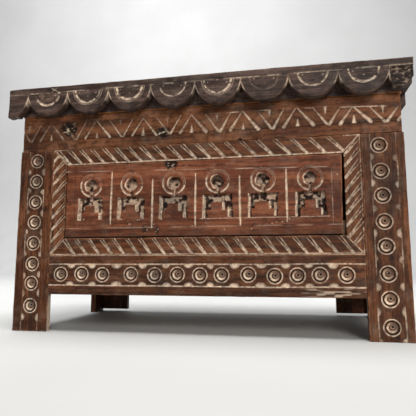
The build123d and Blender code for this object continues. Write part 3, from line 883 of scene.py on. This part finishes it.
def herring_pair(relief, foot, head, bright):
    """Two grooves side by side that meet at the foot, with chalk in both."""
    run_x = head[0] - foot[0]
    run_z = head[1] - foot[1]
    length = math.hypot(run_x, run_z)
    spread = relief.random.uniform(1.45, 2.0) * MM
    side_x = -run_z / length * spread
    side_z = run_x / length * spread
    for turn in (-1, 1):
        top = (head[0] + turn * side_x, head[1] + turn * side_z)
        bottom = (foot[0] + turn * side_x * 0.3, foot[1] + turn * side_z * 0.3)
        force = relief.random.uniform(0.7, 1.1)
        relief.stroke(top, bottom, 0.95 * MM, 0.9 * MM, bright * force, swell=0.7)
    near_foot = (foot[0] + 0.45 * run_x, foot[1] + 0.45 * run_z)
    relief.stroke(near_foot, foot, 1.3 * MM, 0.5 * MM, bright * 0.8, swell=0.8)


def inner_line(relief, distance, amount):
    """Chalk that has settled along an edge."""
    along = unit(1.5 - distance / (1.2 * MM))
    relief.whiten(amount * along * relief.patchy)


level_strokes = {  # bright is how white the chalk is, dust how thick it lies along the lower edge
    "top": {
        "count": 20, "first": -157 * MM, "pitch": 14.2 * MM, "widening": 0.14 * MM,
        "lean": 17.5 * MM, "bright": (0.95, 1.2), "dust": 0.95,
    },
    "bottom": {
        "count": 21, "first": -148.6 * MM, "pitch": 15.85 * MM, "widening": 0.0,
        "lean": 14.0 * MM, "bright": (0.8, 1.1), "dust": 0.7,
    },
}


def level_moulding(place, seed):
    """The top or the bottom board of the frame, mitred at both ends."""
    if place == "top":
        low_z, high_z = frame_inner["high"], frame_outer["high"]
        low_half, high_half = frame_inner["side"], frame_outer["side"]
    else:
        low_z, high_z = frame_outer["low"], frame_inner["low"]
        low_half, high_half = frame_outer["side"], frame_inner["side"]
    corners = [(-low_half, low_z), (low_half, low_z), (high_half, high_z), (-high_half, high_z)]
    relief = Relief(*quad_sheet(corners, board_step), seed)
    strokes = level_strokes[place]
    for n in range(strokes["count"]):
        foot_x = strokes["first"] + strokes["pitch"] * n + strokes["widening"] * n * n
        foot_x = foot_x + relief.random.uniform(-0.8, 0.8) * MM
        foot = (foot_x, low_z + 1.2 * MM)
        head = (foot_x - strokes["lean"], high_z - 1.0 * MM)
        herring_pair(relief, foot, head, relief.random.uniform(*strokes["bright"]))
    inner_line(relief, relief.z - low_z, strokes["dust"])
    mitre = np.where(np.abs(relief.x) > frame_inner["side"], relief.edge, 1.0)
    inner_line(relief, mitre, 0.75)
    return hand_sawn(relief, 0.6 * MM, 0.25 * MM)


def upright_moulding(side, seed):
    """The left (side -1) or the right (side 1) board of the frame."""
    inner_x = side * frame_inner["side"]
    outer_x = side * frame_outer["side"]
    inner_edge = [(inner_x, frame_inner["low"]), (inner_x, frame_inner["high"])]
    outer_edge = [(outer_x, frame_outer["low"]), (outer_x, frame_outer["high"])]
    left, right = (outer_edge, inner_edge) if side < 0 else (inner_edge, outer_edge)
    corners = [left[0], right[0], right[1], left[1]]
    relief = Relief(*quad_sheet(corners, board_step), seed)
    low_x, high_x = min(inner_x, outer_x), max(inner_x, outer_x)
    rise = 17 * MM if side < 0 else 20 * MM
    pitch = 14.0 * MM if side < 0 else 13.0 * MM
    first = 105 * MM
    for n in range(-1, 8):  # the outer ones are cut short by the mitres
        stroke_z = first + pitch * n + relief.random.uniform(-0.8, 0.8) * MM
        herring_pair(relief, (low_x + 0.8 * MM, stroke_z), (high_x - 0.8 * MM, stroke_z + rise), 1.05)
    flaked = smooth(relief.noise(1.0, 5 * MM, seed + 9), -0.2, 0.4)
    inner_line(relief, np.abs(relief.x - outer_x), 0.6 * flaked)
    return hand_sawn(relief, 0.6 * MM, 0.25 * MM)


front_board("herringbone_top", level_moulding("top", 42), "X", "moulding_top")
front_board("herringbone_bottom", level_moulding("bottom", 41), "X", "moulding_bottom")
front_board("herringbone_left", upright_moulding(-1, 44), "Z", "moulding_left")
front_board("herringbone_right", upright_moulding(1, 46), "Z", "moulding_right")


# ---- drawer front: six rings, each over a pierced table ----

motif_count = 6
speck_count = 18
motif_pitch = 51.2 * MM
motif_first = -129.4 * MM
motif_z = 172 * MM
pierced = 5.0 * MM


def pit(relief, inside, depth, seed):
    """A sunk shape with sheer walls and a rough floor, part painted shade and part old chalk."""
    rough = relief.noise(1.7 * MM, 1.7 * MM, seed)
    blotch = relief.noise(4.6 * MM, 3.6 * MM, seed + 1)
    relief.deepen(inside * (depth + 0.8 * MM * rough))
    powder = smooth(blotch + 0.5 * rough, -0.5, 0.25)
    floor = inside > 0.5
    relief.chalk = np.where(floor, 0.62 * powder, relief.chalk)
    # the floor is painted dark as shade where it holds little chalk
    relief.dark = np.where(floor, 1 - 0.75 * powder, relief.dark)


def in_box(x, z, x0, x1, z0, z1):
    """1 inside a box with slightly soft walls."""
    soft = 0.35 * MM
    across = smooth(x, x0 - soft, x0 + soft) * (1 - smooth(x, x1 - soft, x1 + soft))
    return across * smooth(z, z0 - soft, z0 + soft) * (1 - smooth(z, z1 - soft, z1 + soft))


def motif_ring(relief, x, across, up):
    """Scribed circles and a chalked bevel round the hole of a motif."""
    relief.circle((x, motif_z), 13.5 * MM, 0.6 * MM, 0.35 * MM, 0.28)
    relief.arc((x, motif_z), 13.2 * MM, 1.1 * MM, 0.6 * MM, 0.95, math.radians(215), 1.0)
    relief.arc((x, motif_z), 13.2 * MM, 1.1 * MM, 0.6 * MM, 0.9, math.radians(-42), 0.5)
    relief.circle((x, motif_z), 11.6 * MM, 0.5 * MM, 0.3 * MM, 0.2)
    bevel = fall(np.abs(np.hypot(across, up) - 7.9 * MM), 1.1 * MM)
    left = unit(np.cos(np.arctan2(up, across) - math.radians(190)) + 0.25)
    relief.deepen(1.2 * MM * bevel)
    relief.whiten(bevel * left * 1.5 * relief.patchy)


def table_motif(relief, x, seed):
    """A ringed hole with a neck, over a table with two stepped legs."""
    random = relief.random
    skew = random.uniform(-0.05, 0.05)
    across = relief.x - x - 1.0 * MM * relief.noise(4.2 * MM, 3.4 * MM, seed)
    up = relief.z - motif_z - 1.0 * MM * relief.noise(3.4 * MM, 4.2 * MM, seed + 1)
    across = across - skew * np.minimum(up + 15 * MM, 0)
    motif_ring(relief, x, across, up)

    width = 15.5 * MM + random.uniform(-0.8, 0.8) * MM
    hole = smooth(7.2 * MM - np.hypot(across, up), 0, 0.7 * MM)
    neck = in_box(across, up, -1.4 * MM, 1.4 * MM, -17 * MM, -6 * MM)
    bar = in_box(across, up, -width, width, -24.0 * MM, -15.2 * MM)
    inner_leg = random.uniform(5.5, 7.5) * MM
    left_leg = in_box(across, up, -width, -inner_leg - 1.2 * MM, -32 * MM, -23 * MM)
    right_leg = in_box(across, up, inner_leg, width, -33 * MM, -23 * MM)
    slit = random.uniform(2.6, 3.4) * MM
    left_foot = in_box(across, up, -width - 0.6 * MM, -width + slit, -42 * MM, -30 * MM)
    right_foot = in_box(across, up, width - slit, width + 0.8 * MM, -41 * MM, -31 * MM)
    shapes = [hole, neck, bar, left_leg, right_leg, left_foot, right_foot]
    inside = np.max(shapes, axis=0)
    pit(relief, inside, pierced, seed + 2)

    lit_edge = 1.5 * MM
    for wall_x, z0, z1 in (
        (x - width, -30 * MM, -15.5 * MM),
        (x - width - 0.6 * MM, -42 * MM, -30 * MM),
        (x + inner_leg, -33 * MM, -24 * MM),
        (x + width - slit, -41 * MM, -33 * MM),
    ):
        low_z, high_z = motif_z + z0, motif_z + z1
        near = fall(np.abs(relief.x - wall_x), lit_edge, 2.2)
        tall = in_box(relief.x, relief.z, -1, 1, low_z, high_z)
        # painted shadow on the pit floor just right of each of these walls
        painted_shade_beside = in_box(relief.x, relief.z, wall_x + 1.2 * MM, wall_x + 4.2 * MM, low_z, high_z)
        relief.brush(0.85 * painted_shade_beside * inside)
        relief.darken(0.9 * painted_shade_beside * inside)
        relief.whiten(near * tall * unit(relief.patchy + 0.3))
    # painted shade on the pit floor just under the bar's top wall
    painted_shade_under_top_wall = fall(np.abs(up + 16.2 * MM), 1.6 * MM) * (np.abs(across) < width)
    relief.darken(0.9 * painted_shade_under_top_wall * inside)
    shadowed = hole * smooth(up, -2.5 * MM, 3 * MM)
    relief.darken(0.85 * shadowed)
    relief.brush(0.8 * shadowed)
    relief.brush(0.9 * painted_shade_under_top_wall * inside)


def divider(relief, x, z0, z1):
    """A chalked upright line, a little wider in its middle and lower down."""
    drift = relief.noise(1.0, 30 * MM, int(abs(x) * 1e4)) * 0.5 * MM
    share = unit((relief.z - z0) / (z1 - z0))
    half = (0.75 + 0.75 * np.sin(math.pi * share) * (1.15 - 0.5 * share)) * MM
    distance = np.hypot(relief.x - x - drift, np.maximum(np.maximum(z0 - relief.z, relief.z - z1), 0))
    profile = fall(distance, half)
    relief.deepen(0.9 * MM * profile)
    relief.whiten(unit(2.4 * profile) * unit(relief.patchy + 0.1))


def drawer_panel():
    """The drawer's carved face, with its motifs between upright lines."""
    corners = box_corners(drawer_low.x, drawer_high.x, drawer_low.z, drawer_high.z)
    worn_corner = 1.6 * MM
    corners[1] = (corners[1][0] - worn_corner, corners[1][1])
    relief = Relief(*quad_sheet(corners, 0.58 * MM), 51)
    tilt = 7 * MM * (relief.x - drawer_low.x) / (drawer_high.x - drawer_low.x)
    faint = smooth(relief.noise(16 * MM, 1.0, 53), -0.3, 0.5)
    upper = np.abs(relief.z - (190 * MM - tilt))
    relief.cut(upper, 0.6 * MM, 0.3 * MM, 0.0)
    relief.whiten(0.4 * unit(2 - upper / (0.4 * MM)) * faint)
    lower = np.abs(relief.z - 120.5 * MM)
    relief.cut(lower, 0.6 * MM, 0.3 * MM, 0.0)
    relief.whiten(0.3 * unit(2 - lower / (0.4 * MM)) * (1 - faint))
    # painted shade in the lower groove where its chalk is faint
    relief.darken(0.45 * fall(lower, 0.9 * MM) * faint)
    middle = to_segment(relief.x, relief.z, mm(4, 129.5), mm(146, 129.5))[0]
    relief.cut(middle, 0.6 * MM, 0.3 * MM, 0.4)
    relief.darken(0.3 * smooth(135 * MM - relief.z, 0, 20 * MM))
    for n in range(motif_count):
        table_motif(relief, motif_first + n * motif_pitch, 60 + 5 * n)
    for n in range(motif_count - 1):
        x = motif_first + (n + 0.5) * motif_pitch
        foot = relief.random.uniform(120, 127) * MM
        divider(relief, x, foot, foot + relief.random.uniform(55, 64) * MM)
    relief.stroke(mm(149.3, 122), mm(149.3, 178), 0.5 * MM, 0.3 * MM, 0.6)
    relief.stain(mm(-106.8, 132.3), 7 * MM, 9 * MM, 0.55)
    relief.stain(mm(-54, 120), 13 * MM, 9 * MM, 0.5)
    relief.stain(mm(60, 118), 34 * MM, 4 * MM, 0.35)
    relief.knot(mm(-60.9, 118), 3.2 * MM, 4.5 * MM, 0.5 * MM, 0.85)
    relief.knot(mm(-46.4, 117.2), 2.6 * MM, 4.2 * MM, 0.5 * MM, 0.85)
    relief.knot(mm(-30.6, 194), 6.4 * MM, 5.6 * MM, 1.1 * MM, 1.0)
    relief.dot(mm(145, 167.4), 1.1 * MM, 1.0 * MM, 0.0)
    relief.dot(mm(155.3, 174.7), 1.0 * MM, 0.5 * MM, 0.9)
    for n in range(speck_count):
        speck_x = relief.random.uniform(drawer_low.x + 5 * MM, drawer_high.x - 5 * MM)
        speck_z = relief.random.uniform(114, 134) * MM
        relief.dot((speck_x, speck_z), relief.random.uniform(0.5, 1.0) * MM, 0.3 * MM, 0.75)
    # painted shade along the left and lower edges, where the gap round the drawer front is
    painted_gap_shade_left = unit(1.6 - (relief.x - relief.x.min()) / (0.9 * MM))
    painted_gap_shade_low = unit(1.6 - (relief.z - relief.z.min()) / (0.9 * MM))
    relief.darken(0.95 * np.maximum(painted_gap_shade_left, painted_gap_shade_low))
    scribed = np.abs(relief.x + 150 * MM + 0.01 * (relief.z - 150 * MM))
    relief.darken(0.5 * unit(1.5 - scribed / (0.6 * MM)))
    rubbed = smooth(relief.noise(40 * MM, 9 * MM, 55), 0.1, 0.8)
    relief.rub(0.35 * rubbed)
    return hand_sawn(relief, 0.8 * MM, 0.3 * MM)


panel_wood = wood_for("panel_wood", "X")
carved_board(
    "drawer_panel", drawer_panel(), drawer_low.y, drawer_high.y, panel_wood,
    "drawer_front", "drawer",
)


# ---- lid apron: a row of tongues under a scribed line ----

tongue_height = 28.0 * MM
tongue_half = 26.6 * MM
tongue_pitch = 52.28 * MM
tongue_count = 8
rubbed_tongue = 6  # the one whose ring has almost gone
rubbed_away = 0.12
apron_line_z = tongue_tip_z + tongue_height
tongue_centres = [-lid_end + n * tongue_pitch for n in range(tongue_count + 1)]
broken_x = lid_end + np.array([-26.14, -24.0, -20.0, -11.0, -5.0, 0.0]) * MM
broken_z = np.array([0.0, -14.0, -22.5, -23.5, -17.5, -12.0]) * MM
blunt_x = -lid_end + np.array([0.0, 13.0, 17.5, 24.0]) * MM  # the left end is cut off blunt
blunt_z = np.array([-26.5, -27.6, -21.0, 0.0]) * MM


def apron_edge(x):
    """Lower outline of the apron."""
    edge = apron_line_z + np.interp(x, broken_x, broken_z)
    edge = np.minimum(edge, apron_line_z + np.interp(x, blunt_x, blunt_z))
    for centre in tongue_centres:
        share = unit(1 - ((x - centre) / tongue_half) ** 2)
        edge = np.minimum(edge, apron_line_z - tongue_height * np.sqrt(share))
    return edge


def apron_columns():
    """Column places, crowded where the tongues meet and the outline is steep."""
    spread = np.sin(np.linspace(-math.pi / 2, math.pi / 2, 84)) * tongue_pitch / 2
    columns = [tongue_centres[0] + spread[spread > 0]]
    for centre in tongue_centres[1:]:
        columns.append(centre + spread)
    columns.append(places(broken_x[0], lid_end, 0.6 * MM))
    columns.append(-lid_end + near_edge)
    merged = np.sort(np.concatenate(columns))
    keep = np.concatenate([[True], np.diff(merged) > 0.02 * MM])
    return merged[keep]


def apron_sheet():
    """A grid whose lowest row follows the tongues, and its distance inward from the edges."""
    columns = apron_columns()
    tall = 36 * MM
    rise = places(0, tall, 0.6 * MM) / tall
    x, share = np.meshgrid(columns, rise, indexing="ij")
    bottom = apron_edge(x)
    sag = 0.5 * MM * (1 + noise(x, x * 0, 55 * MM, 1.0, 71)) / 2
    corner = 2.2 * MM * fall(x + lid_end, 5 * MM) ** 2
    z = bottom + share * (lid_top_z - sag - corner - bottom)
    steep = np.gradient(bottom[:, 0], columns)
    slant = np.sqrt(1 + np.clip(np.abs(steep), 0, 12) ** 2)[:, None]
    edge = np.minimum(lid_top_z - sag - z, np.minimum(x + lid_end, lid_end - x))
    return x, z, np.maximum(np.minimum(edge, (z - bottom) / slant), 0)


def half_ring(relief, centre, bright):
    """The lower half of a chalked ring that hangs from the scribed line, with the compass's marks."""
    radius = 15.5 * MM
    away = np.hypot(relief.x - centre, relief.z - apron_line_z)
    below = smooth(apron_line_z - relief.z, -0.5 * MM, 0.8 * MM)
    uneven = 1 + 0.55 * relief.noise(7 * MM, 7 * MM, int(1000 + centre * 1e3))
    profile = fall(np.abs(away - radius), 1.35 * MM * uneven) * below
    relief.deepen(0.9 * MM * profile)
    flaked = smooth(relief.noise(2.4 * MM, 2.0 * MM, int(2000 + centre * 1e3)), -0.75, -0.1)
    relief.whiten(unit(2.2 * profile) * bright * flaked * relief.patchy)
    if bright > 1.03:
        outer = fall(np.abs(away - radius - 2.8 * MM), 0.7 * MM) * below
        relief.deepen(0.4 * MM * outer)
        relief.whiten(0.6 * outer * relief.patchy)
    dots = [(0, -0.5), (0, -8.0), (-11.0, -3.0), (10.5, -4.0)]
    for across, up in dots:
        mark = (centre + across * MM, apron_line_z + up * MM)
        relief.dot(mark, relief.random.uniform(0.6, 1.0) * MM, 0.5 * MM, 0.7)


def torn_end(relief):
    """The right end has split along the grain under the scribed line, and its fibres are torn."""
    split_z = apron_line_z - 1.5 * MM + 2.0 * MM * relief.noise(7 * MM, 1.0, 78)
    split = smooth(relief.x, broken_x[0] + 1 * MM, broken_x[0] + 2.5 * MM)
    split = split * smooth(split_z - relief.z, 0, 1 * MM)
    torn = relief.noise(3.0 * MM, 1.6 * MM, 79)
    relief.depth = relief.depth + split * (2.6 + 1.1 * torn) * MM
    relief.darken(split * unit(0.62 - 0.4 * torn))
    relief.chalk = np.where(split > 0.5, 0.3 * smooth(torn, 0.35, 0.7), relief.chalk)


def tongue_edges(relief, on_tongues):
    """Chalk on the tongues' lips, dirt and painted shade along their rims, and a chalked groove where two
    of them meet.
    """
    cusp = np.min([np.abs(relief.x - centre - tongue_pitch / 2) for centre in tongue_centres], axis=0)
    lip = 1 - smooth(relief.edge, 0.5 * MM, 2.0 * MM)
    lip = lip * smooth(relief.z, tongue_tip_z + 11 * MM, tongue_tip_z + 17 * MM)
    lip = lip * on_tongues * smooth(9 * MM - cusp, 0, 4 * MM)
    relief.whiten(0.85 * lip * relief.patchy)
    # dirt and painted shade along the tongues' rims
    rim = (1 - smooth(relief.edge, 0.4 * MM, 3.5 * MM)) * on_tongues
    uneven = 0.8 + 0.4 * relief.noise(6 * MM, 6 * MM, 77)
    relief.darken(0.6 * rim * (1 - relief.chalk) * uneven)
    seam = fall(cusp, 0.8 * MM) * on_tongues
    relief.deepen(0.8 * MM * seam)
    relief.whiten(0.7 * seam * relief.patchy)


def apron():
    """The lid's scalloped front edge."""
    relief = Relief(*apron_sheet(), 72)
    x, z = relief.x, relief.z
    on_tongues = z < apron_line_z
    broken = smooth(relief.noise(10 * MM, 1.0, 73), -0.5, 0.3)
    line = np.abs(z - apron_line_z - 0.4 * MM * relief.noise(60 * MM, 1.0, 74))
    relief.cut(line, 0.9 * MM, 0.5 * MM, 0.0)
    relief.whiten(0.6 * unit(2 - line / (0.45 * MM)) * broken * relief.patchy)
    for n, centre in enumerate(tongue_centres[1:], start=1):
        half_ring(relief, centre, rubbed_away if n == rubbed_tongue else relief.random.uniform(0.9, 1.15))
    torn_end(relief)
    tongue_edges(relief, on_tongues)
    first = np.hypot(x - tongue_centres[1], z - apron_line_z) / (13 * MM)
    relief.rub(0.8 * smooth(1.1 - first, 0, 0.4) * on_tongues)
    relief.stain(mm(-173, 287.5), 9 * MM, 4 * MM, 0.9)
    relief.stroke(mm(-176, 290), mm(-168, 285.5), 0.9 * MM, 0.6 * MM, 0.8)
    relief.stroke(mm(-170, 290), mm(-176, 286), 0.8 * MM, 0.6 * MM, 0.6)
    blackened = 1 - smooth(np.abs(x - tongue_centres[rubbed_tongue]), 20 * MM, 26 * MM)
    relief.darken(0.45 * blackened * on_tongues * (0.7 + 0.3 * relief.noise(8 * MM, 3 * MM, 75)))
    relief.darken(0.35 * smooth(relief.noise(46 * MM, 7 * MM, 76), 0.2, 0.8) * (z > apron_line_z))
    relief.finish(1.1 * MM, 0.25 * MM)
    return relief


apron_wood = wood_for("lid_wood", "X")
carved_board("lid_scallops", apron(), apron_y, apron_back_y, apron_wood, "lid_apron", "lid")


# ---- lid front rail: rebated behind the tongues, so that the gaps between them are dark and deep ----


def rebated_rail():
    """The rail as a row of sections between the cleats, roughly hewn where it is set back."""
    rail_low, rail_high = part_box("lid_front_rail")
    lid_inside = high("lid_cleat_left").x
    step_z = rail_high.z - 12 * MM
    setback = 9 * MM
    profile = [
        (rail_low.y, rail_high.z), (rail_low.y, step_z), (rail_low.y + setback, step_z),
        (rail_low.y + setback, rail_low.z), (rail_high.y, rail_low.z), (rail_high.y, rail_high.z),
    ]
    hewn_corners = (2, 3)
    sections = 120
    random = np.random.RandomState(81)
    points = []
    for n in range(sections + 1):
        x = lid_inside + (-2 * lid_inside) * n / sections
        for corner, (y, z) in enumerate(profile):
            hewn = random.uniform(0, 0.5) * MM if corner in hewn_corners else 0.0
            points.append((x, y + hewn, z))
    size = len(profile)
    faces = [list(range(size)), [sections * size + n for n in reversed(range(size))]]
    for n in range(sections):
        for corner in range(size):
            after = (corner + 1) % size
            here = n * size
            faces.append([here + corner, here + size + corner, here + size + after, here + after])
    mesh = bpy.data.meshes.new("lid_rail_front")
    mesh.from_pydata(points, [], faces)
    # its underside takes the fresh palette, brightened as painted light
    material = wood_for("lid_wood", "X", edges=True, below="fresh")
    piece = add_piece("lid_rail_front", mesh, material, "lid", "lid_front_rail")
    soften(piece, 1.2 * MM, 50)


rebated_rail()


# ---- the other boards keep their CAD shapes: softened edges and their own wood ----

replaced = set()
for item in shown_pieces():
    replaced.update(item.get("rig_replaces", []))
slots = {part["node"]: part["material_slot"] for part in frame["record"]["subparts"]}
for node, board in frame["nodes"].items():
    if node in replaced:
        continue
    lowest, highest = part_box(node)
    sizes = highest - lowest
    along = "XYZ"[max(range(3), key=lambda axis: sizes[axis])]
    below = "bare" if slots[node] == "lid_wood" and "cleat" not in node else ""
    board.data.materials.clear()
    board.data.materials.append(wood_for(slots[node], along, edges=True, below=below))
    # doubled points and flat triangles would leave creases beside the rounded edges
    weld = board.modifiers.new("weld", "WELD")
    weld.merge_threshold = 0.01 * MM
    flat = board.modifiers.new("flat", "DECIMATE")
    flat.decimate_type = "DISSOLVE"
    flat.angle_limit = math.radians(0.5)
    soften(board, min(0.9 * MM, 0.12 * min(sizes)), 40)


# ---- floor, light and camera ----


def studio():
    """A pale sweep that curves up behind the chest."""
    half = 6.0
    near = -4.0
    bend = 2.2
    radius = 1.2
    height = 6.0
    steps = 24
    profile = [(near, 0.0)]
    for n in range(steps + 1):
        turn = n / steps * math.pi / 2
        profile.append((bend + radius * math.sin(turn), radius * (1 - math.cos(turn))))
    profile.append((bend + radius, height))
    points = []
    for y, z in profile:
        points += [(-half, y, z), (half, y, z)]
    faces = [(2 * n, 2 * n + 1, 2 * n + 3, 2 * n + 2) for n in range(len(profile) - 1)]
    mesh = bpy.data.meshes.new("studio_floor")
    mesh.from_pydata(points, [], faces)
    mesh.shade_smooth()
    s = Shader("studio_paint")
    place = s.nodes.new("ShaderNodeTexCoord").outputs["Object"]
    across = s.nodes.new("ShaderNodeSeparateXYZ")
    s.feed(across.inputs[0], place)
    # painted light: the floor is darker near the front, where the lamps are strong, and paler further back,
    # where less light reaches
    painted_light_falloff = s.span(across.outputs[1], -0.9, 0.6)
    cloud = s.span(s.noise(place, 2.5, 3.0, 0.5), 0.3, 0.7, 0.94, 1.0)
    paint = s.mix(painted_light_falloff, (0.41, 0.415, 0.41, 1), (0.60, 0.605, 0.60, 1))
    s.feed(s.surface.inputs["Base Color"], s.mix(1.0, paint, cloud, "MULTIPLY"))
    s.surface.inputs["Roughness"].default_value = 0.7
    mesh.materials.append(s.material)
    link("studio_floor", mesh)


def area_light(name, place, aim, size, power, colour):
    """A round lamp that faces aim and is not seen itself."""
    lamp = bpy.data.lights.new(name, "AREA")
    lamp.shape = "DISK"
    lamp.size = size
    lamp.energy = power
    lamp.color = colour
    holder = link(name, lamp)
    holder.location = place
    direction = holder.location - Vector(aim)
    holder.rotation_euler = direction.to_track_quat("Z", "Y").to_euler()
    holder.visible_camera = False


studio()
centre = (cad_bounds[0] + cad_bounds[1]) / 2
area_light("overhead", (0.25, -0.55, 2.1), centre, size=0.9, power=37.5, colour=(1.0, 0.98, 0.95))
area_light("front", (0.75, -2.0, 0.95), centre, size=0.9, power=28.5, colour=(1.0, 0.955, 0.90))
area_light("backdrop", (-1.0, 0.4, 3.6), (-1.3, 3.2, 0.7), size=2.4, power=156.0, colour=(1.0, 1.0, 1.0))
world = bpy.data.worlds.new("studio_air")
bpy.context.scene.world = world
world.use_nodes = True
air = world.node_tree.nodes["Background"]
air.inputs["Color"].default_value = (0.95, 0.97, 1.0, 1)
air.inputs["Strength"].default_value = 0.23
bpy.context.scene.view_settings.view_transform = "Standard"

lens = bpy.data.cameras.new("camera")
lens.sensor_width = 36.0
lens.lens = 37.71
lens.clip_start = 0.01
camera = link("camera", lens)
camera.location = (0.1060, -0.5930, 0.0779)
camera.rotation_euler = (math.radians(97.40), 0.0, math.radians(10.96))
bpy.context.scene.camera = camera
